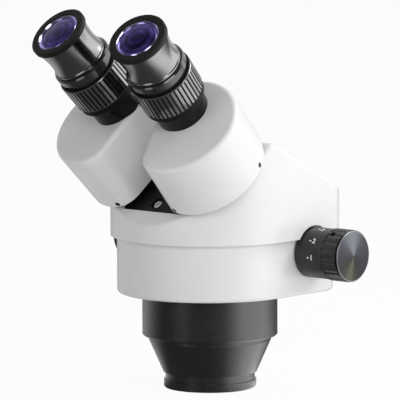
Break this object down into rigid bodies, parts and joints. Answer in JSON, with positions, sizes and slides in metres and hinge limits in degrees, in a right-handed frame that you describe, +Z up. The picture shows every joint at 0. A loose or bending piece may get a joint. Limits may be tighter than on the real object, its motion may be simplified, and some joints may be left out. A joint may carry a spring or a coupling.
{
  "type": "stereo zoom microscope head",
  "caption": "Binocular stereo zoom microscope head with inclined eyepieces on swinging prism boxes, side zoom knobs and a round clamp barrel below.",
  "frame": {"origin": "on the axis of the clamp barrel, at the underside of the housing, where the barrel begins", "axes": "+X is the right-hand side of the person looking in, -Y is that person's side, +Z is up along the clamp barrel"},
  "size_m": [0.168, 0.1618, 0.2164],
  "materials": {
    "white_paint": "semi-gloss white paint",
    "black_paint": "satin black paint",
    "black_anodised": "satin black anodised",
    "grip_black": "fine satin black",
    "soft_black": "matt black",
    "knob_grey": "satin charcoal",
    "satin_cap": "satin turned",
    "steel": "bright",
    "black_screws": "blackened",
    "brass": "machined",
    "carrier_metal": "machined",
    "lens_glass": "polished",
    "coated_glass": "polished with a blue-violet coating",
    "prism_glass": "polished"
  },
  "bodies": {
    "head": {"lower_housing": "white_paint", "upper_cover": "white_paint", "objective_barrel": "black_paint", "thread_ring": "black_anodised", "objective_plate": "black_paint", "right_objective_lens": "lens_glass", "left_objective_lens": "lens_glass", "zoom_frame": "black_paint", "guide_rods": "steel", "shaft_bushes": "brass", "binocular_carrier": "black_paint", "carrier_screws": "steel", "right_fold_prism": "prism_glass", "left_fold_prism": "prism_glass", "fold_prism_brackets": "black_paint", "housing_screws": "black_screws", "barrel_screws": "black_screws"},
    "zoom_drive": {"zoom_shaft": "steel", "zoom_cam": "brass", "right_zoom_knob": "knob_grey", "left_zoom_knob": "knob_grey", "right_knob_cap": "satin_cap", "left_knob_cap": "satin_cap", "knob_set_screws": "black_screws"},
    "right_upper_lens_slide": {"right_upper_carrier": "carrier_metal", "right_upper_zoom_lens": "lens_glass"},
    "right_lower_lens_slide": {"right_lower_carrier": "carrier_metal", "right_lower_zoom_lens": "lens_glass"},
    "left_upper_lens_slide": {"left_upper_carrier": "carrier_metal", "left_upper_zoom_lens": "lens_glass"},
    "left_lower_lens_slide": {"left_lower_carrier": "carrier_metal", "left_lower_zoom_lens": "lens_glass"},
    "right_prism_box": {"right_prism_casing": "white_paint", "right_turntable": "black_anodised", "right_erecting_prism": "prism_glass", "right_prism_holder": "black_paint", "right_eyepiece_tube": "black_anodised", "right_retaining_ring": "brass", "right_casing_screws": "black_screws"},
    "right_dioptre": {"right_dioptre_ring": "grip_black"},
    "right_holder": {"right_eyepiece_holder": "grip_black", "right_lock_screw": "black_screws"},
    "right_eyepiece": {"right_eyepiece_barrel": "black_anodised", "right_eye_ring": "soft_black", "right_eye_lens": "coated_glass", "right_field_lens": "lens_glass"},
    "left_prism_box": {"left_prism_casing": "white_paint", "left_turntable": "black_anodised", "left_erecting_prism": "prism_glass", "left_prism_holder": "black_paint", "left_eyepiece_tube": "black_anodised", "left_retaining_ring": "brass", "left_casing_screws": "black_screws"},
    "left_dioptre": {"left_dioptre_ring": "grip_black"},
    "left_holder": {"left_eyepiece_holder": "grip_black", "left_lock_screw": "black_screws"},
    "left_eyepiece": {"left_eyepiece_barrel": "black_anodised", "left_eye_ring": "soft_black", "left_eye_lens": "coated_glass", "left_field_lens": "lens_glass"}
  },
  "joints": [
    {"name": "zoom_turn", "type": "hinge", "parent": "head", "child": "zoom_drive", "pos_m": [0, 0.0254, 0.024], "axis": [1, 0, 0], "range_deg": [-135, 135]},
    {"name": "right_upper_travel", "type": "slide", "parent": "head", "child": "right_upper_lens_slide", "axis": [0.1096, 0, 0.994], "range_m": [-0.00454, 0.00454]},
    {"name": "right_lower_travel", "type": "slide", "parent": "head", "child": "right_lower_lens_slide", "axis": [0.1096, 0, 0.994], "range_m": [-0.00454, 0.00454]},
    {"name": "left_upper_travel", "type": "slide", "parent": "head", "child": "left_upper_lens_slide", "axis": [-0.1096, 0, 0.994], "range_m": [-0.00454, 0.00454]},
    {"name": "left_lower_travel", "type": "slide", "parent": "head", "child": "left_lower_lens_slide", "axis": [-0.1096, 0, 0.994], "range_m": [-0.00454, 0.00454]},
    {"name": "right_swing", "type": "hinge", "parent": "head", "child": "right_prism_box", "pos_m": [0.02642, -0.02954, 0.07254], "axis": [-0.0958, 0.7039, -0.7039], "range_deg": [-2, 32]},
    {"name": "right_dioptre_turn", "type": "hinge", "parent": "right_prism_box", "child": "right_dioptre", "pos_m": [0.02359, -0.04916, 0.10729], "axis": [0.0958, -0.7039, 0.7039], "range_deg": [-97, 204]},
    {"name": "right_dioptre_rise", "type": "slide", "parent": "right_prism_box", "child": "right_holder", "axis": [0.0958, -0.7039, 0.7039], "range_m": [-0.002, 0.0042]},
    {"name": "right_eyepiece_pull", "type": "slide", "parent": "right_holder", "child": "right_eyepiece", "axis": [0.0958, -0.7039, 0.7039], "range_m": [0, 0.015]},
    {"name": "left_swing", "type": "hinge", "parent": "head", "child": "left_prism_box", "pos_m": [-0.02642, -0.02954, 0.07254], "axis": [-0.0958, -0.7039, 0.7039], "range_deg": [-2, 32]},
    {"name": "left_dioptre_turn", "type": "hinge", "parent": "left_prism_box", "child": "left_dioptre", "pos_m": [-0.02359, -0.04916, 0.10729], "axis": [-0.0958, -0.7039, 0.7039], "range_deg": [-97, 204]},
    {"name": "left_dioptre_rise", "type": "slide", "parent": "left_prism_box", "child": "left_holder", "axis": [-0.0958, -0.7039, 0.7039], "range_m": [-0.002, 0.0042]},
    {"name": "left_eyepiece_pull", "type": "slide", "parent": "left_holder", "child": "left_eyepiece", "axis": [-0.0958, -0.7039, 0.7039], "range_m": [0, 0.015]}
  ],
  "couplings": [
    {"joint": "right_upper_travel", "follows": "zoom_turn", "m_per_rad": 0.0019214},
    {"joint": "right_lower_travel", "follows": "zoom_turn", "m_per_rad": -0.0019214},
    {"joint": "left_upper_travel", "follows": "zoom_turn", "m_per_rad": 0.0019214},
    {"joint": "left_lower_travel", "follows": "zoom_turn", "m_per_rad": -0.0019214},
    {"joint": "right_dioptre_turn", "follows": "right_dioptre_rise", "rad_per_m": 844.52},
    {"joint": "left_dioptre_turn", "follows": "left_dioptre_rise", "rad_per_m": 844.52},
    {"joint": "left_swing", "follows": "right_swing", "ratio": 1}
  ]
}
